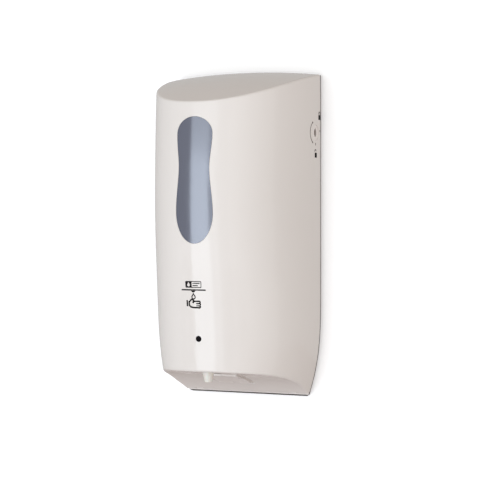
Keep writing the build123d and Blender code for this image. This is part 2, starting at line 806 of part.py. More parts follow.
def refill_cap():
    """Quarter turn cap: its slots meet the lugs after 90 degrees."""
    base = bottle_top + 1.5
    top = bottle_top + neck_height + seal_thickness() + 0.1 + cap_wall
    shape = rod_z(cap_radius, 0, -neck_depth, base, top)
    shape -= rod_z(neck_radius + 0.3, 0, -neck_depth, base - 1, top - cap_wall)
    groove = rod_z(neck_radius + cap_lug_reach + 0.3, 0, -neck_depth, bottle_top + 4.5, bottle_top + 7.0)
    slots = cap_lugs(base - 1, bottle_top + 5.0, 0.3).rotate(Axis((0, -neck_depth, 0), (0, 0, 1)), 90)
    slots = slots & rod_z(neck_radius + cap_lug_reach + 0.2, 0, -neck_depth, 0, far)
    shape = shape - groove - slots
    for i in range(cap_grips):
        angle = 2 * math.pi * i / cap_grips
        x, y = polar(cap_radius + 0.4, angle)
        shape -= rod_z(0.9, x, y - neck_depth, base - 1, top - 2.5)
    return shape


def seal_thickness():
    """Thickness of the cap's flat seal."""
    return 1.2


def cap_seal():
    """Flat rubber ring in the cap."""
    base = bottle_top + neck_height + 0.05
    ring = rod_z(neck_radius, 0, -neck_depth, base, base + seal_thickness() - 0.05)
    return ring - rod_z(neck_radius - 3.0, 0, -neck_depth, 0, far)


def battery_outer():
    """|x| of the battery box's open end."""
    return battery_inner + 2 * cell_spacing + 1.0 + 2.6


def battery_front():
    """Depth of the battery box's front wall face."""
    return battery_rear + 2 * cell_spacing + 0.6 + battery_wall


def battery_top():
    """Height of the battery box's roof."""
    inside = cell_length + cell_tip_length + spring_length + 2 * contact_thickness + 0.8
    return battery_base + 2 * battery_wall + inside


def battery_box():
    """Open sided box with door grooves."""
    outer = block(-battery_outer(), -battery_inner + battery_wall, -battery_front(), -battery_rear + battery_wall,
                  battery_base, battery_top())
    cavity = block(-far, -battery_inner, -battery_front() + battery_wall, -battery_rear,
                   battery_base + battery_wall, battery_top() - battery_wall)
    x0, x1 = door_x()
    groove = block(x0 - door_gap, x1 + door_gap, -battery_front() + battery_wall - door_groove,
                   -battery_rear + door_groove, battery_base + battery_wall, far)
    rib_way = block(-far, x1, door_middle() - rib_half_width - 1, door_middle() + rib_half_width + 1,
                    battery_top() - battery_wall - 1, far)
    stand = block(-battery_inner - 6, -battery_inner - 2, -plate_thickness - 3.3, -plate_thickness - seat_gap,
                  battery_base, battery_top())
    return outer + stand - cavity - groove - rib_way


def door_x():
    """x range of the battery door."""
    x0 = -battery_outer() + 0.8
    return x0, x0 + door_thickness


def battery_door():
    """Door that slides up in the box's grooves, with finger ribs."""
    x0, x1 = door_x()
    y0 = -battery_front() + battery_wall - door_groove + door_gap
    y1 = -battery_rear + door_groove - door_gap
    z0 = battery_base + battery_wall + door_gap
    z1 = battery_top() + 1.0
    shape = block(x0, x1, y0, y1, z0, z1)
    for i in range(4):
        z = z1 - 6 - 3 * i
        shape += block(x0 - 0.6, x0 + 0.2, door_middle() - rib_half_width, door_middle() + rib_half_width,
                       z - 0.5, z + 0.5)
    return shape


def door_middle():
    """y of the door's middle."""
    return (battery_wall - battery_front() - battery_rear) / 2


def cell_places():
    """Centre and direction of each battery cell."""
    places = []
    for column in range(2):
        for row in range(2):
            x = -battery_inner - cell_spacing * (column + 0.5) - 0.3
            y = -battery_rear - cell_spacing * (row + 0.5) - 0.3
            places.append((x, y, 1 if (column + row) % 2 == 0 else -1))
    return places


def cell_base(up):
    """Lower end of a cell: the spring is at its flat end."""
    low = battery_base + battery_wall + contact_thickness + 0.2
    return low + spring_length if up > 0 else low + cell_tip_length


def battery_cells():
    """Four round cells, alternately turned over."""
    cells = []
    for x, y, up in cell_places():
        base = cell_base(up)
        cell = rod_z(cell_radius, x, y, base, base + cell_length)
        if up > 0:
            cell += rod_z(cell_tip_radius, x, y, base + cell_length, base + cell_length + cell_tip_length)
        else:
            cell += rod_z(cell_tip_radius, x, y, base - cell_tip_length, base)
        cells.append(cell)
    return cells


def battery_springs():
    """Bowed leaf springs between the contact plates and the flat ends of the cells."""
    springs = []
    outer = spring_length - 2 * spring_gap
    for x, y, up in cell_places():
        plate_end = cell_base(up) - spring_length if up > 0 else cell_base(up) + cell_length + spring_length
        foot = plate_end + up * spring_gap
        bow = rod_y(outer, x, y - spring_width / 2, y + spring_width / 2, foot)
        bow -= rod_y(outer - spring_thickness, x, y - spring_width, y + spring_width, foot)
        springs.append(bow & block(x - far, x + far, y - far, y + far, *sorted((foot, foot + up * far))))
    return springs


def battery_contacts():
    """Contact plates under and over the cells."""
    plates = []
    low = battery_base + battery_wall + 0.05
    high = battery_top() - battery_wall - 0.05
    for column in range(2):
        x = -battery_inner - cell_spacing * (column + 0.5) - 0.3
        y_mid = -battery_rear - cell_spacing - 0.3
        for z in (low, high - contact_thickness):
            plates.append(block(x - 5, x + 5, y_mid - cell_spacing + 2, y_mid + cell_spacing - 2, z,
                                z + contact_thickness))
    return plates


def control_board():
    """Main circuit board on four posts of the back plate."""
    shape = block(board_left, board_right, -board_depth - board_thickness, -board_depth, board_low, board_high)
    for x, z in post_points():
        shape -= rod_y(post_stem_radius + shaft_gap, x, -board_depth - 5, 0, z)
    return shape


def post_points():
    """Corners of the board where its posts stand."""
    return [(x, z) for x in (board_left + 4, board_right - 4) for z in (board_low + 4, board_high - 4)]


def board_posts():
    """Nylon spacers with a head, through the board's corners."""
    posts = []
    front = -board_depth - board_thickness
    for x, z in post_points():
        spacer = rod_y(2.6, x, -board_depth + 0.05, -plate_thickness - 0.05, z)
        stem = rod_y(post_stem_radius, x, front - 0.2, -board_depth + 1, z)
        head = rod_y(2.2, x, front - 1.4, front - 0.05, z)
        posts.append(spacer + stem + head)
    return posts


def board_chips():
    """Controller chip, driver chip and a relay sized block."""
    face = -board_depth - board_thickness - 0.05
    sizes = [(36, 52, 10, 10, 1.6), (32, 84, 6, 5, 1.5), (36, 38, 8, 5, 2.0)]
    return [block(x - w / 2, x + w / 2, face - t, face, z - h / 2, z + h / 2) for x, z, w, h, t in sizes]


def board_capacitors():
    """Two round capacitors standing on the board."""
    face = -board_depth - board_thickness - 0.05
    return [rod_y(3.5, x, face - 9, face, 66) for x in (27, 37)]


def board_sockets():
    """Plug sockets for the motor, sensor and battery leads."""
    face = -board_depth - board_thickness - 0.05
    sockets = []
    for z in (44, 56, 76):
        shell = block(24, 29, face - 5.5, face, z - 4, z + 4)
        sockets.append(shell - block(25, 28, face - 6, face - 1.2, z - 3, z + 3))
    return sockets


def switch_x():
    """x range of the power switch's case."""
    return board_right - 7, board_right - 0.5


def power_switch():
    """Case of the slide switch on the board's edge."""
    face = -board_depth - board_thickness - 0.05
    x0, x1 = switch_x()
    case = block(x0, x1, face - 5, face, switch_height - 5, switch_height + switch_travel + 5)
    slot = block(x1 - 2.5, x1 + 1, face - 3.6, face - 1.4, switch_height - 2, switch_height + switch_travel + 2)
    return case - slot


def power_slider():
    """Switch slider, reached through the side of the housing."""
    face = -board_depth - board_thickness - 0.05
    _, x1 = switch_x()
    reach = half_width_at(switch_height) - wall - cover_gap + 0.6
    stem = block(x1 - 2.2, reach - 2.0, face - 3.3, face - 1.7, switch_height - 1.5, switch_height + 1.5)
    tip = block(reach - 2.2, reach, face - 4.2, face - 0.8, switch_height - 2.6, switch_height + 2.6)
    return stem + tip


def led_board():
    """Small board behind the indicator lens, on the pump's front."""
    y0 = pump_front() + 0.1
    return block(-7, 7, -y0 - 1.2, -y0, indicator_height - 7, indicator_height + 5)


def pump_front():
    """Depth of the pump's front face."""
    return pump_depth + gear_tip_radius + gear_tip_gap + pump_wall + 3


def indicator_led():
    """Light emitting diode with a domed end."""
    y0 = -pump_front() - 1.35
    base = rod_y(led_radius + 0.4, 0, y0 - 1.0, y0, indicator_height)
    stem = rod_y(led_radius, 0, y0 - 3.2, y0 - 0.9, indicator_height)
    return base + stem + Pos(0, y0 - 3.2, indicator_height) * Sphere(led_radius)


def sensor_board_height():
    """Underside of the sensor board."""
    return scoop_at(sensor_depth) + housing_wall * 1.1 + 9.5


def sensor_board():
    """Board over the nose that carries the infrared diodes."""
    z = sensor_board_height()
    board = block(-13, 13, -pump_depth + 12.5, -47, z, z + 1.2)
    for side in (-1, 1):
        board += block(side * 11.5 - 1.2, side * 11.5 + 1.2, -57, -52, scoop_at(57) + housing_wall * 1.1 + 0.6, z)
    return board


def ir_diodes():
    """Emitter and receiver side by side, looking down through the window."""
    z = sensor_board_height() - 0.05
    y = -sensor_depth + 3.2
    diodes = []
    for side in (-1, 1):
        stem = rod_z(1.5, side * 2.0, y, z - 4.6, z)
        diodes.append(stem + Pos(side * 2.0, y, z - 4.6) * Sphere(1.5))
    return diodes


def housing_screws():
    """Screws through the housing bosses into the plate."""
    front = -plate_thickness - 9
    screws = []
    for side in (-1, 1):
        for z in housing_screw_heights:
            head = rod_y(screw_head_radius, side * housing_screw_x, front - screw_head_height - 0.05,
                         front - 0.05, z)
            stem = rod_y(screw_radius - 0.35, side * housing_screw_x, front - 0.1, -0.6, z)
            screws.append(head + stem)
    return screws


def save(name, shape):
    """Write one node, moved so that the origin is the centre of the wall screws."""
    solids = shape if isinstance(shape, list) else [shape]
    moved = []
    for piece in solids:
        moved += (Pos(0, 0, -origin_height) * piece).solids()
    export_step(Compound(children=moved) if len(moved) > 1 else moved[0], f"parts/{name}.step")


os.makedirs("parts", exist_ok=True)
for make in (back_plate, front_cover, window_lens, indicator_lens, hinge_pins, lock_barrel, lock_cam,
             lock_cam_screw, soap_bottle, refill_cap, cap_seal, bottle_dock, dock_seal, inlet_hose,
             inner_housing, pump_body, pump_lid, pump_screws, drive_gear, idler_gear, motor, outlet_tube,
             nozzle, sensor_window, sensor_pad, sensor_board, ir_diodes, led_board, indicator_led,
             control_board, board_posts, board_chips, board_capacitors, board_sockets, power_switch,
             power_slider, battery_box, battery_cells, battery_springs, battery_contacts, battery_door,
             housing_screws):
    save(make.__name__, make())
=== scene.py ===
import math

import bpy
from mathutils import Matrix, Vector


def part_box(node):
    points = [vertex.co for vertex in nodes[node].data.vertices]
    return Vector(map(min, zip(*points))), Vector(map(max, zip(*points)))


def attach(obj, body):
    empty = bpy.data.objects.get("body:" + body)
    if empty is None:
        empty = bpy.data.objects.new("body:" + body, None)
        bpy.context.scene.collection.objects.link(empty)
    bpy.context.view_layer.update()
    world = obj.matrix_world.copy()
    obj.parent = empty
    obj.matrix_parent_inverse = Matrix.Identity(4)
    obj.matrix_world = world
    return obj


# Wall mounted soap dispenser: finishes, printed marks, studio and camera.
# Metres.  x is to the right, the wall is y = 0 with the front towards -y, z is up,
# and the origin is the middle of the wall screw pattern.

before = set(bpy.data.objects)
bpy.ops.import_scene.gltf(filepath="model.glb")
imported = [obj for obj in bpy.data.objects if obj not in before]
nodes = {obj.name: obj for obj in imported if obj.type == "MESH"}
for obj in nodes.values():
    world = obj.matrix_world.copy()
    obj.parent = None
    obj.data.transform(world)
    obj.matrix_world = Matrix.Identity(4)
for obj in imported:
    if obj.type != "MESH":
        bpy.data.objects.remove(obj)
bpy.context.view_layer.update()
MM = 0.001
merge_distance = 0.001 * MM    # points nearer than this are one point
cover_rise = 3.88 * MM         # lowest point of the cover above the edge that heights are measured from
lower_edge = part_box("front_cover")[0].z - cover_rise
plate_thickness = 2.5 * MM
wall_gap = 0.6 * MM            # backdrop behind the plate, so the two faces don't flicker
floor_drop = 1.1


# ---------------------------------------------------------------- finishes


BLACK, WHITE = (0.0, 0.0, 0.0), (1.0, 1.0, 1.0)
warm_white = ((0.785, 0.748, 0.717), (0.795, 0.758, 0.727))


def new_finish(name, roughness, **sockets):
    """An empty finish: its shader's even values are set here, its patterns are added after."""
    finish = bpy.data.materials.new(name)
    finish.use_nodes = True
    shader = finish.node_tree.nodes["Principled BSDF"]
    shader.inputs["Roughness"].default_value = roughness
    for socket, value in sockets.items():
        shader.inputs[socket.replace("_", " ").title().replace("Ior", "IOR")].default_value = value
    return finish, shader


def object_place(finish):
    return finish.node_tree.nodes.new("ShaderNodeTexCoord").outputs["Object"]


def noise(finish, place, scale, detail=3.0, stretch=None):
    """Cloudy pattern; stretch makes it longer along an axis, for brushed or drawn metal."""
    tree = finish.node_tree
    cloud = tree.nodes.new("ShaderNodeTexNoise")
    cloud.inputs["Scale"].default_value = scale
    cloud.inputs["Detail"].default_value = detail
    if stretch:
        mapping = tree.nodes.new("ShaderNodeMapping")
        mapping.inputs["Scale"].default_value = stretch
        tree.links.new(place, mapping.inputs["Vector"])
        place = mapping.outputs["Vector"]
    tree.links.new(place, cloud.inputs["Vector"])
    return cloud.outputs["Fac"]


def two_shades(finish, pattern, shades, span=(0.35, 0.65)):
    """Colours by a pattern: the first shade below the span, the second above it."""
    ramp = finish.node_tree.nodes.new("ShaderNodeValToRGB")
    for stop, at, shade in zip(ramp.color_ramp.elements, span, shades):
        stop.position = at
        stop.color = (*shade, 1.0)
    finish.node_tree.links.new(pattern, ramp.inputs["Fac"])
    return ramp.outputs["Color"]


def vary_roughness(finish, shader, pattern, low, high):
    spread = finish.node_tree.nodes.new("ShaderNodeMapRange")
    spread.inputs["From Min"].default_value = 0.3
    spread.inputs["From Max"].default_value = 0.7
    spread.inputs["To Min"].default_value = low
    spread.inputs["To Max"].default_value = high
    finish.node_tree.links.new(pattern, spread.inputs["Value"])
    finish.node_tree.links.new(spread.outputs["Result"], shader.inputs["Roughness"])


def emboss(finish, shader, pattern, depth, strength):
    bump = finish.node_tree.nodes.new("ShaderNodeBump")
    bump.inputs["Strength"].default_value = strength
    bump.inputs["Distance"].default_value = depth
    finish.node_tree.links.new(pattern, bump.inputs["Height"])
    finish.node_tree.links.new(bump.outputs["Normal"], shader.inputs["Normal"])


def moulded(name, shades, roughness, grain, depth, strength=0.4, drift=30.0, **sockets):
    """Moulded plastic: a slow drift of shade, a slow drift of gloss and a fine mould grain."""
    finish, shader = new_finish(name, roughness[0], **sockets)
    place = object_place(finish)
    slow = noise(finish, place, drift, 2.0)
    colour = two_shades(finish, slow, shades)
    finish.node_tree.links.new(colour, shader.inputs["Base Color"])
    vary_roughness(finish, shader, noise(finish, place, drift * 2.5), *roughness)
    emboss(finish, shader, noise(finish, place, grain, 2.0), depth, strength)
    return finish


def metal(name, shades, roughness, stretch, grain=90.0):
    """Drawn or rolled metal: streaks along the work, in colour, gloss and surface."""
    finish, shader = new_finish(name, roughness[0], metallic=1.0)
    place = object_place(finish)
    streaks = noise(finish, place, grain, 6.0, stretch)
    finish.node_tree.links.new(two_shades(finish, streaks, shades), shader.inputs["Base Color"])
    vary_roughness(finish, shader, streaks, *roughness)
    emboss(finish, shader, streaks, 0.03 * MM, 0.35)
    return finish


def height_bands(finish, place, axis, low, high, bands):
    """Colour bands along one axis between two places, each with its start from 0 to 1."""
    tree = finish.node_tree
    split = tree.nodes.new("ShaderNodeSeparateXYZ")
    tree.links.new(place, split.inputs["Vector"])
    level = tree.nodes.new("ShaderNodeMapRange")
    level.inputs["From Min"].default_value = low
    level.inputs["From Max"].default_value = high
    tree.links.new(split.outputs[axis], level.inputs["Value"])
    ramp = tree.nodes.new("ShaderNodeValToRGB")
    ramp.color_ramp.interpolation = "CONSTANT"
    elements = ramp.color_ramp.elements
    while len(elements) < len(bands):
        elements.new(0.5)
    for stop, (at, shade) in zip(elements, bands):
        stop.position = at
        stop.color = (*shade, 1.0)
    tree.links.new(level.outputs["Result"], ramp.inputs["Fac"])
    return ramp.outputs["Color"]


def blend_colours(finish, factor, first, second):
    mix = finish.node_tree.nodes.new("ShaderNodeMix")
    mix.data_type = "RGBA"
    finish.node_tree.links.new(factor, mix.inputs["Factor"])
    finish.node_tree.links.new(first, mix.inputs["A"])
    finish.node_tree.links.new(second, mix.inputs["B"])
    return mix.outputs["Result"]


def keyed_lock():
    """Pale lock face; below its surface the keyhole is dark brown."""
    shades = ((0.84, 0.79, 0.76), (0.87, 0.82, 0.79))
    finish = moulded("lock_plastic", shades, (0.14, 0.22), grain=1400.0, depth=0.02 * MM)
    tree = finish.node_tree
    shader = tree.nodes["Principled BSDF"]
    face_colour = shader.inputs["Base Color"].links[0].from_socket
    place = object_place(finish)
    low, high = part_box("lock_barrel")
    hole = two_shades(finish, noise(finish, place, 900.0), ((0.16, 0.11, 0.085), (0.22, 0.16, 0.125)))
    front = height_bands(finish, place, "X", low.x, high.x, ((0.0, BLACK), (0.93, WHITE)))
    tree.links.new(blend_colours(finish, front, hole, face_colour), shader.inputs["Base Color"])
    return finish


def circuit_board():
    """Green solder mask with lighter copper tracks under it and small tinned pads."""
    finish, shader = new_finish("board_green", 0.35, ior=1.55)
    tree = finish.node_tree
    place = object_place(finish)
    tracks = tree.nodes.new("ShaderNodeTexBrick")
    tracks.offset = 0.37
    tracks.inputs["Scale"].default_value = 120.0
    tracks.inputs["Mortar Size"].default_value = 0.035
    tracks.inputs["Color1"].default_value = (0.010, 0.105, 0.040, 1.0)
    tracks.inputs["Color2"].default_value = (0.014, 0.120, 0.046, 1.0)
    tracks.inputs["Mortar"].default_value = (0.050, 0.230, 0.085, 1.0)
    turn = tree.nodes.new("ShaderNodeMapping")
    turn.inputs["Rotation"].default_value = (math.radians(90), 0.0, 0.0)
    tree.links.new(place, turn.inputs["Vector"])
    tree.links.new(turn.outputs["Vector"], tracks.inputs["Vector"])
    pads = tree.nodes.new("ShaderNodeTexVoronoi")
    pads.inputs["Scale"].default_value = 330.0
    pads.inputs["Randomness"].default_value = 0.35
    tree.links.new(place, pads.inputs["Vector"])
    tinned = two_shades(finish, pads.outputs["Distance"], (WHITE, BLACK), (0.14, 0.17))
    solder = tree.nodes.new("ShaderNodeRGB")
    solder.outputs[0].default_value = (0.55, 0.56, 0.52, 1.0)
    colour = blend_colours(finish, tinned, tracks.outputs["Color"], solder.outputs[0])
    tree.links.new(colour, shader.inputs["Base Color"])
    emboss(finish, shader, tracks.outputs["Fac"], 0.05 * MM, 0.5)
    return finish


def battery_jacket():
    """Printed film round each cell: a grey jacket with a pale ring, and bare steel ends."""
    finish, shader = new_finish("cell_jacket", 0.3, ior=1.5)
    place = object_place(finish)
    low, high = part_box("battery_cells")
    grey, pale, steel = (0.035, 0.05, 0.07), (0.62, 0.64, 0.66), (0.5, 0.5, 0.5)
    bands = ((0.0, steel), (0.03, grey), (0.2, pale), (0.24, grey), (0.76, pale), (0.8, grey), (0.965, steel))
    colour = height_bands(finish, place, "Z", low.z, high.z, bands)
    finish.node_tree.links.new(colour, shader.inputs["Base Color"])
    scuff = noise(finish, place, 400.0, 4.0, (1.0, 1.0, 0.2))
    vary_roughness(finish, shader, scuff, 0.22, 0.42)
    emboss(finish, shader, scuff, 0.02 * MM, 0.3)
    return finish


def capacitor_sleeve():
    """Dark shrink sleeve with bare aluminium at the end away from the board."""
    finish, shader = new_finish("capacitor_can", 0.3)
    place = object_place(finish)
    low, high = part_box("board_capacitors")
    bands = ((0.0, (0.72, 0.72, 0.71)), (0.08, (0.02, 0.025, 0.045)), (0.9, (0.05, 0.05, 0.06)))
    colour = height_bands(finish, place, "Y", low.y, high.y, bands)
    finish.node_tree.links.new(colour, shader.inputs["Base Color"])
    vary_roughness(finish, shader, noise(finish, place, 500.0), 0.25, 0.45)
    emboss(finish, shader, noise(finish, place, 900.0), 0.02 * MM, 0.3)
    return finish


def motor_shell():
    """Zinc plated can: crystals that catch the light a little differently."""
    finish, shader = new_finish("motor_can", 0.35, metallic=1.0)
    place = object_place(finish)
    tree = finish.node_tree
    crystals = tree.nodes.new("ShaderNodeTexVoronoi")
    crystals.inputs["Scale"].default_value = 260.0
    tree.links.new(place, crystals.inputs["Vector"])
    grey = tree.nodes.new("ShaderNodeRGBToBW")
    tree.links.new(crystals.outputs["Color"], grey.inputs["Color"])
    colour = two_shades(finish, grey.outputs["Val"], ((0.50, 0.51, 0.52), (0.66, 0.67, 0.68)))
    tree.links.new(colour, shader.inputs["Base Color"])
    vary_roughness(finish, shader, grey.outputs["Val"], 0.26, 0.46)
    emboss(finish, shader, noise(finish, place, 700.0), 0.02 * MM, 0.25)
    return finish


def plate_with_painted_shadow():
    """Warm white wall plate whose sides, from just behind its front face back to the wall, carry a painted
    shadow: a near black colour standing for the shade where the plate meets the wall.
    """
    finish = moulded("plate_plastic", warm_white, (0.4, 0.55), grain=1800.0, depth=0.05 * MM)
    tree = finish.node_tree
    shader = tree.nodes["Principled BSDF"]
    moulded_colour = shader.inputs["Base Color"].links[0].from_socket
    place = object_place(finish)
    # Painted shadow: behind the front face the plate's sides are coloured near black, standing for the shade
    # in the gap where the plate meets the wall.
    shadow_paint_shades = ((0.05, 0.047, 0.045), (0.10, 0.095, 0.09))
    shadow_paint = two_shades(finish, noise(finish, place, 2500.0), shadow_paint_shades)
    shadow_paint_mask = height_bands(finish, place, "Y", -plate_thickness, 0.0, ((0.0, BLACK), (0.08, WHITE)))
    tree.links.new(blend_colours(finish, shadow_paint_mask, moulded_colour, shadow_paint), shader.inputs["Base Color"])
    return finish


finishes = {
    "cover_gloss": moulded(
        "cover_gloss", warm_white, (0.075, 0.10),
        grain=900.0, depth=0.006 * MM, strength=0.12, drift=14.0, ior=1.47,
    ),
    "window_tint": moulded(
        "window_tint", ((0.050, 0.062, 0.104), (0.057, 0.070, 0.116)), (0.13, 0.17),
        grain=700.0, depth=0.006 * MM, strength=0.1, drift=20.0,
        ior=2.2, transmission_weight=0.1, specular_tint=(0.94, 0.94, 1.0, 1.0),
    ),
    "plate_plastic": plate_with_painted_shadow(),
    "housing_plastic": moulded(
        "housing_plastic", ((0.74, 0.69, 0.65), (0.765, 0.713, 0.672)), (0.3, 0.4),
        grain=1500.0, depth=0.03 * MM,
    ),
    "cell_jacket": battery_jacket(),
    "spring_steel": metal(
        "spring_steel", ((0.50, 0.50, 0.50), (0.68, 0.68, 0.67)), (0.2, 0.38), (1.0, 1.0, 6.0)
    ),
    "screw_steel": metal(
        "screw_steel", ((0.42, 0.42, 0.43), (0.62, 0.62, 0.63)), (0.22, 0.42), (4.0, 1.0, 4.0),
        grain=260.0,
    ),
    "board_green": circuit_board(),
    "nylon": moulded(
        "nylon", ((0.76, 0.75, 0.70), (0.82, 0.81, 0.77)), (0.38, 0.5),
        grain=1200.0, depth=0.03 * MM, subsurface_weight=0.1,
    ),
    "chip_black": moulded(
        "chip_black", ((0.012, 0.012, 0.013), (0.024, 0.024, 0.026)), (0.5, 0.65),
        grain=3500.0, depth=0.04 * MM, strength=0.6, drift=300.0,
    ),
    "capacitor_can": capacitor_sleeve(),
    "pump_plastic": moulded(
        "pump_plastic", ((0.50, 0.52, 0.54), (0.55, 0.57, 0.59)), (0.32, 0.45),
        grain=1400.0, depth=0.04 * MM,
    ),
    "motor_can": motor_shell(),
    "silicone": moulded(
        "silicone", ((0.80, 0.81, 0.80), (0.86, 0.87, 0.86)), (0.3, 0.42),
        grain=600.0, depth=0.02 * MM, subsurface_weight=0.15, transmission_weight=0.25,
    ),
    "nozzle_white": moulded(
        "nozzle_white", ((0.84, 0.77, 0.70), (0.89, 0.82, 0.75)), (0.22, 0.32),
        grain=1000.0, depth=0.02 * MM, subsurface_weight=0.15,
    ),
    "dark_lens": moulded(
        "dark_lens", ((0.004, 0.003, 0.004), (0.009, 0.007, 0.008)), (0.12, 0.2),
        grain=800.0, depth=0.01 * MM, strength=0.2, drift=200.0, specular_ior_level=0.02,
    ),
    "pad_plastic": moulded(
        "pad_plastic", ((0.80, 0.76, 0.73), (0.83, 0.79, 0.76)), (0.25, 0.35),
        grain=1500.0, depth=0.02 * MM,
    ),
    "led_red": moulded(
        "led_red", ((0.55, 0.02, 0.015), (0.70, 0.035, 0.025)), (0.15, 0.25),
        grain=900.0, depth=0.02 * MM, transmission_weight=0.3,
    ),
    "seal_rubber": moulded(
        "seal_rubber", ((0.014, 0.014, 0.015), (0.028, 0.028, 0.03)), (0.6, 0.75),
        grain=2600.0, depth=0.05 * MM, strength=0.6, drift=120.0,
    ),
    "bottle_clear": moulded(
        "bottle_clear", ((0.70, 0.78, 0.84), (0.78, 0.85, 0.90)), (0.16, 0.28),
        grain=220.0, depth=0.12 * MM, strength=0.35, drift=16.0, transmission_weight=0.55, ior=1.49,
    ),
    "lock_plastic": keyed_lock(),
    "cap_plastic": moulded(
        "cap_plastic", ((0.030, 0.13, 0.26), (0.042, 0.16, 0.31)), (0.28, 0.4),
        grain=1500.0, depth=0.04 * MM,
    ),
    "gear_plastic": moulded(
        "gear_plastic", ((0.78, 0.76, 0.68), (0.84, 0.82, 0.75)), (0.3, 0.42),
        grain=1300.0, depth=0.03 * MM, subsurface_weight=0.08,
    ),
    "door_plastic": moulded(
        "door_plastic", ((0.60, 0.57, 0.54), (0.64, 0.61, 0.58)), (0.36, 0.48),
        grain=1800.0, depth=0.05 * MM,
    ),
    "slider_plastic": moulded(
        "slider_plastic", ((0.035, 0.035, 0.037), (0.055, 0.055, 0.058)), (0.4, 0.55),
        grain=2200.0, depth=0.05 * MM,
    ),
}
for node in nodes.values():
    for held in node.material_slots:
        held.material = finishes[held.material.name.split(".")[0]]


# ---------------------------------------------------------------- printed marks

skin_thickness = 0.12 * MM
least_facing = 0.4             # a face of the skin looks at least this much the way the mark faces
drawing_half_depth = 0.012     # reaches through the cover's curve on either side of the drawing

def only(piece):
    bpy.ops.object.select_all(action="DESELECT")
    piece.select_set(True)
    bpy.context.view_layer.objects.active = piece


def cover_skin(facing, low, high):
    """A thin layer of the cover's outside, within a box, that printed marks are cut from."""
    skin = nodes["front_cover"].copy()
    skin.data = skin.data.copy()
    skin.parent = None
    bpy.context.scene.collection.objects.link(skin)
    only(skin)
    bpy.ops.object.mode_set(mode="EDIT")
    bpy.ops.mesh.select_mode(type="FACE")
    bpy.ops.mesh.select_all(action="SELECT")
    bpy.ops.mesh.remove_doubles(threshold=merge_distance)
    bpy.ops.mesh.select_all(action="DESELECT")
    bpy.ops.object.mode_set(mode="OBJECT")
    for face in skin.data.polygons:
        inside = all(a < c < b for a, c, b in zip(low, face.center, high))
        face.select = not (inside and face.normal.dot(Vector(facing)) > least_facing)
    bpy.ops.object.mode_set(mode="EDIT")
    bpy.ops.mesh.delete(type="FACE")
    bpy.ops.object.mode_set(mode="OBJECT")
    layer = skin.modifiers.new("layer", "SOLIDIFY")
    layer.thickness = skin_thickness
    layer.offset = 0.0
    bpy.ops.object.modifier_apply(modifier=layer.name)
    return skin


def printed(name, loops, turn, reach, skin, ink):
    """A mark of closed loops, drawn flat, cut as thin ink from the cover's skin. It rides on the cover."""
    drawing = bpy.data.curves.new(name, "CURVE")
    drawing.dimensions = "2D"
    drawing.fill_mode = "BOTH"
    drawing.extrude = drawing_half_depth
    for loop in loops:
        line = drawing.splines.new("POLY")
        line.points.add(len(loop) - 1)
        for point, (across, up) in zip(line.points, loop):
            point.co = (across * MM, up * MM + lower_edge, 0.0, 1.0)
        line.use_cyclic_u = True
    mark = bpy.data.objects.new(name, drawing)
    bpy.context.scene.collection.objects.link(mark)
    mark.rotation_euler = turn
    mark.location = reach
    only(mark)
    bpy.ops.object.convert(target="MESH")
    mark = bpy.context.view_layer.objects.active
    bpy.ops.object.transform_apply(location=True, rotation=True, scale=True)
    bpy.ops.object.mode_set(mode="EDIT")
    bpy.ops.mesh.select_all(action="SELECT")
    bpy.ops.mesh.remove_doubles(threshold=merge_distance)
    bpy.ops.mesh.normals_make_consistent(inside=False)
    bpy.ops.object.mode_set(mode="OBJECT")
    cut = mark.modifiers.new("cut", "BOOLEAN")
    cut.operation = "INTERSECT"
    cut.solver = "EXACT"
    cut.object = skin
    bpy.ops.object.modifier_apply(modifier=cut.name)
    mark.name = name
    mark.data.name = name
    mark.data.materials.clear()
    mark.data.materials.append(ink)
    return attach(mark, "cover")


def arc(centre, radius, start, end, steps):
    """Points along part of a circle, angles in degrees from the first axis."""
    turns = [math.radians(start + (end - start) * k / steps) for k in range(steps + 1)]
    return [(centre[0] + radius * math.cos(t), centre[1] + radius * math.sin(t)) for t in turns]


def circle(centre, radius, steps=24):
    return arc(centre, radius, 0.0, 360.0 * (1 - 1 / steps), steps - 1)


def rounded_box(left, low, right, high, corner):
    corners = (
        ((right - corner, low + corner), -90.0),
        ((right - corner, high - corner), 0.0),
        ((left + corner, high - corner), 90.0),
        ((left + corner, low + corner), 180.0),
    )
    return [p for centre, start in corners for p in arc(centre, corner, start, start + 90.0, 4)]


def stroke(points, width):
    """The outline of a line of even width with mitred corners, left side out and right side back."""
    left, right = [], []
    for k, (x, y) in enumerate(points):
        before = points[max(k - 1, 0)]
        after = points[min(k + 1, len(points) - 1)]
        first = Vector((x - before[0], y - before[1]))
        second = Vector((after[0] - x, after[1] - y))
        first = (first if first.length else second).normalized()
        second = (second if second.length else first).normalized()
        middle = (first + second).normalized()
        half = width / 2 / max(middle.dot(first), 0.5)
        left.append((x - middle.y * half, y + middle.x * half))
        right.append((x + middle.y * half, y - middle.x * half))
    return left + right[::-1]


def drop_loop(centre, radius, tip):
    """A falling drop: a round foot that narrows to a point above it."""
    return arc(centre, radius, 155.0, 385.0, 16) + [(centre[0], tip)]


front_turn = (math.radians(90), 0.0, 0.0)
side_turn = (math.radians(90), 0.0, math.radians(90))
black_ink = moulded(
    "black_ink", ((0.010, 0.009, 0.010), (0.018, 0.016, 0.017)), (0.3, 0.4),
    grain=2500.0, depth=0.01 * MM, strength=0.3, drift=250.0, specular_ior_level=0.04,
)
brown_ink = moulded(
    "brown_ink", ((0.085, 0.062, 0.050), (0.115, 0.088, 0.074)), (0.2, 0.3),
    grain=2500.0, depth=0.01 * MM, strength=0.3, drift=250.0,
)

# The loops below are in millimetres.  Up is counted from the lower edge; across is counted from the
# middle on the front, and from the wall on the side, where the room is on its minus side.

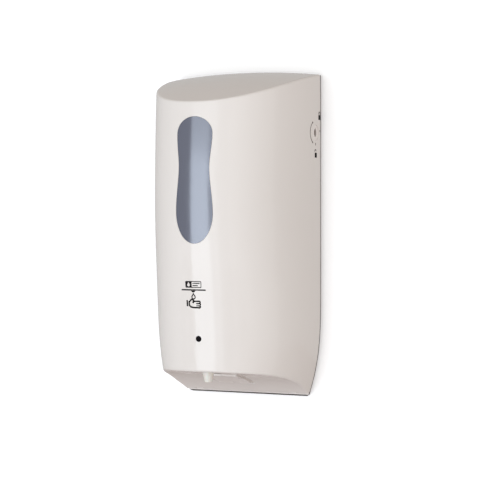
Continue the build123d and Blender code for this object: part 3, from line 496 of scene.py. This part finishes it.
front_low = (-0.02, -0.12, lower_edge + 0.07)
front_high = (0.014, -0.08, lower_edge + 0.112)
front_skin = cover_skin((0, -1, 0), front_low, front_high)
front_marks = {
    "print_box": [
        rounded_box(-10.1, 97.1, 4.7, 102.6, 0.9),
        rounded_box(-4.1, 97.7, 4.1, 102.0, 0.6),
        drop_loop((-7.0, 99.4), 1.3, 101.9),
    ],
    "print_bars": [
        rounded_box(-3.2, 100.4, 3.3, 101.2, 0.3),
        rounded_box(-3.2, 98.5, 1.6, 99.3, 0.3),
    ],
    "print_spout": [
        rounded_box(-14.1, 94.8, 8.3, 95.9, 0.4),
        [(-5.0, 94.7), (-0.8, 94.7), (-2.0, 93.4), (-3.8, 93.4)],
    ],
    "print_drop": [
        drop_loop((-2.9, 89.5), 1.95, 93.2),
        drop_loop((-2.9, 89.5), 1.05, 91.3),
    ],
    "print_hand": [
        rounded_box(-9.8, 81.8, -8.4, 86.9, 0.3),
        [(-7.9, 82.5), (-6.2, 80.8), (-3.6, 80.3), (2.3, 80.2), (3.4, 80.8), (3.5, 82.0), (3.1, 82.6),
         (3.6, 83.2), (3.5, 84.2), (3.1, 84.6), (3.5, 85.2), (3.1, 86.4), (2.0, 86.8), (-2.0, 86.6),
         (-3.2, 87.8), (-4.4, 88.6), (-5.8, 87.6), (-7.9, 85.7)],
        [(-6.6, 83.0), (-5.5, 82.1), (-3.5, 81.6), (1.9, 81.4), (2.3, 81.5), (2.2, 81.9), (-0.8, 82.0),
         (-0.8, 82.7), (2.3, 82.9), (2.5, 83.2), (2.3, 83.7), (-0.8, 83.7), (-0.8, 84.5), (2.1, 84.9),
         (2.3, 85.1), (1.8, 85.5), (-2.3, 85.4), (-3.4, 84.3), (-4.3, 84.9), (-3.8, 86.4), (-4.5, 87.0),
         (-5.0, 86.6), (-6.6, 85.0)],
    ],
}
for name, loops in front_marks.items():
    printed(name, loops, front_turn, (0.0, -0.1, 0.0), front_skin, black_ink)

side_low = (0.055, -0.032, lower_edge + 0.198)
side_high = (0.075, -0.0005, lower_edge + 0.252)
side_skin = cover_skin((1, 0, 0), side_low, side_high)
lock_across = (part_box("lock_barrel")[0].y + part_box("lock_barrel")[1].y) / 2 / MM
lock_up = ((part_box("lock_barrel")[0].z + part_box("lock_barrel")[1].z) / 2 - lower_edge) / MM


def padlock(across, up, shift):
    """Body and shackle of a padlock sign; shift opens the shackle to one side."""
    body = rounded_box(across - 2.0, up - 2.1, across + 2.0, up + 2.1, 0.5)
    bow = stroke(
        [(across - 1.3 + shift, up + 2.4 + 0.5 * abs(shift))]
        + arc((across + shift, up + 3.3), 1.3, 180.0, 0.0, 8)
        + ([(across + 1.3, up + 2.4)] if not shift else []),
        0.75,
    )
    return [body, bow]


ring = (lock_across, lock_up)
ring_radius, ring_start, ring_end = 10.1, 124.0, 236.0
arc_start, arc_end = arc(ring, ring_radius, ring_start, ring_end, 1)
side_marks = {
    "sign_closed": (padlock(-5.1, 239.2, 0.0), black_ink),
    "sign_open": (padlock(-12.4, 207.0, -0.7), black_ink),
    "turn_arc": ([stroke(arc(ring, ring_radius, ring_start, ring_end, 20), 0.8)], brown_ink),
    "turn_arc_start": ([circle(arc_start, 0.85, 14)], brown_ink),
    "turn_arc_end": ([circle(arc_end, 0.75, 14)], brown_ink),
    "tick_open": ([rounded_box(lock_across - 0.45, 215.2, lock_across + 0.45, 217.4, 0.3)], brown_ink),
    "tick_closed": ([rounded_box(-4.7, 227.2, -3.3, 228.4, 0.3)], brown_ink),
}
for name, (loops, ink) in side_marks.items():
    printed(name, loops, side_turn, (0.065, 0.0, 0.0), side_skin, ink)
for skin in (front_skin, side_skin):
    bpy.data.objects.remove(skin)


# ---------------------------------------------------------------- wall, floor, light and camera


def plain_sheet(name, size, place, turn, colour, glow):
    """A flat backdrop sheet with a faint plaster mottle."""
    bpy.ops.object.select_all(action="DESELECT")
    bpy.ops.mesh.primitive_plane_add(size=size, location=place, rotation=turn)
    sheet = bpy.context.view_layer.objects.active
    sheet.name = name
    finish, shader = new_finish(name, 0.8, emission_strength=glow)
    shader.inputs["Specular IOR Level"].default_value = 0.0
    shader.inputs["Emission Color"].default_value = (1.0, 1.0, 1.0, 1.0)
    pattern = noise(finish, object_place(finish), 3.0)
    shades = (tuple(c * 0.985 for c in colour), colour)
    finish.node_tree.links.new(two_shades(finish, pattern, shades), shader.inputs["Base Color"])
    sheet.data.materials.append(finish)
    return sheet, finish, shader


wall_sheet, wall_finish, wall_shader = plain_sheet(
    "wall_backdrop", 6.0, (0.0, wall_gap, 0.0), (math.radians(90), 0.0, 0.0), (0.92, 0.92, 0.92), 0.22
)
wall_tree = wall_finish.node_tree
see_through = wall_tree.nodes.new("ShaderNodeBsdfTransparent")
which_side = wall_tree.nodes.new("ShaderNodeNewGeometry")
one_sided = wall_tree.nodes.new("ShaderNodeMixShader")
wall_tree.links.new(which_side.outputs["Backfacing"], one_sided.inputs["Fac"])
wall_tree.links.new(wall_shader.outputs["BSDF"], one_sided.inputs[1])
wall_tree.links.new(see_through.outputs["BSDF"], one_sided.inputs[2])
wall_tree.links.new(one_sided.outputs["Shader"], wall_tree.nodes["Material Output"].inputs["Surface"])
# Only the camera sees the wall: it neither lights nor shades the dispenser.
for ray in ("visible_diffuse", "visible_glossy", "visible_shadow", "visible_transmission"):
    setattr(wall_sheet, ray, False)
plain_sheet(
    "floor_backdrop", 8.0, (0.0, 0.0, -floor_drop), (0.0, 0.0, 0.0), (0.78, 0.73, 0.73), 0.0
)


def studio_sky():
    """Even studio surround: bright round the horizon, dimmer overhead and underneath."""
    sky = bpy.data.worlds.new("studio")
    bpy.context.scene.world = sky
    sky.use_nodes = True
    tree = sky.node_tree
    place = tree.nodes.new("ShaderNodeTexCoord")
    split = tree.nodes.new("ShaderNodeSeparateXYZ")
    tree.links.new(place.outputs["Generated"], split.inputs["Vector"])
    level = tree.nodes.new("ShaderNodeMapRange")
    level.inputs["From Min"].default_value = -1.0
    level.inputs["From Max"].default_value = 1.0
    tree.links.new(split.outputs["Z"], level.inputs["Value"])
    ramp = tree.nodes.new("ShaderNodeValToRGB")
    ramp.color_ramp.interpolation = "EASE"
    # From straight down at 0 to straight up at 1.
    stops = (
        (0.0, (0.31, 0.255, 0.25)),
        (0.36, (0.86, 0.85, 0.84)),
        (0.66, (0.86, 0.85, 0.84)),
        (1.0, (0.455, 0.372, 0.318)),
    )
    elements = ramp.color_ramp.elements
    while len(elements) < len(stops):
        elements.new(0.5)
    for stop, (at, shade) in zip(elements, stops):
        stop.position = at
        stop.color = (*shade, 1.0)
    tree.links.new(level.outputs["Result"], ramp.inputs["Fac"])
    facing = tree.nodes.new("ShaderNodeVectorMath")
    facing.operation = "DOT_PRODUCT"
    facing.inputs[1].default_value = (0.35, -0.94, 0.0)
    tree.links.new(place.outputs["Generated"], facing.inputs[0])
    ahead = tree.nodes.new("ShaderNodeMapRange")
    ahead.inputs["From Min"].default_value = -1.0
    ahead.inputs["From Max"].default_value = 1.0
    ahead.inputs["To Min"].default_value = 0.62
    ahead.inputs["To Max"].default_value = 1.03
    tree.links.new(facing.outputs["Value"], ahead.inputs["Value"])
    tree.links.new(ahead.outputs["Result"], tree.nodes["Background"].inputs["Strength"])
    tree.links.new(ramp.outputs["Color"], tree.nodes["Background"].inputs["Color"])


cover_front = Vector((0.0, -0.1, -0.05))


def light_panel(name, left, right, low, high, away, radiance, colour=(0.82, 0.92, 1.0)):
    """A flat light panel between two bearings and two rises, in degrees as seen from the cover."""
    bearing = math.radians((left + right) / 2)
    rise = math.radians((low + high) / 2)
    towards = Vector(
        (math.sin(bearing) * math.cos(rise), -math.cos(bearing) * math.cos(rise), math.sin(rise))
    )
    lamp = bpy.data.lights.new(name, "AREA")
    lamp.shape = "RECTANGLE"
    lamp.size = 2 * away * math.tan(math.radians((right - left) / 2))
    lamp.size_y = 2 * away * math.tan(math.radians((high - low) / 2))
    lamp.color = colour
    lamp.energy = radiance * math.pi * lamp.size * lamp.size_y
    panel = bpy.data.objects.new(name, lamp)
    bpy.context.scene.collection.objects.link(panel)
    panel.location = cover_front + towards * away
    panel.rotation_mode = "QUATERNION"
    panel.rotation_quaternion = (-towards).to_track_quat("-Z", "Y")


studio_sky()
light_panel("tall_panel", -31.0, -3.0, -38.0, 8.0, 1.9, 1.15)
light_panel("upper_panel", -31.0, -1.0, -40.0, 13.0, 1.9, 0.75)
light_panel("wide_panel", -31.0, 14.0, -42.0, 24.0, 1.9, 0.95)
light_panel("side_fill", 35.0, 105.0, -25.0, 30.0, 2.2, 0.38, (1.0, 0.985, 0.97))

camera_place = (0.6094, -1.3278, -0.0367)
camera_facing = (-0.4226, 0.9063, 0.0)  # level, 25 degrees round from straight ahead
focal_length = 120.93
frame_drop = -0.0746           # slides the picture without tilting the camera, so uprights stay upright

camera_data = bpy.data.cameras.new("camera")
camera_data.lens = focal_length
camera_data.sensor_width = 36.0
camera_data.shift_y = frame_drop
camera_data.clip_start = 0.05
camera = bpy.data.objects.new("camera", camera_data)
bpy.context.scene.collection.objects.link(camera)
camera.location = camera_place
camera.rotation_mode = "QUATERNION"
camera.rotation_quaternion = Vector(camera_facing).to_track_quat("-Z", "Y")
bpy.context.scene.camera = camera
bpy.context.scene.view_settings.view_transform = "Standard"
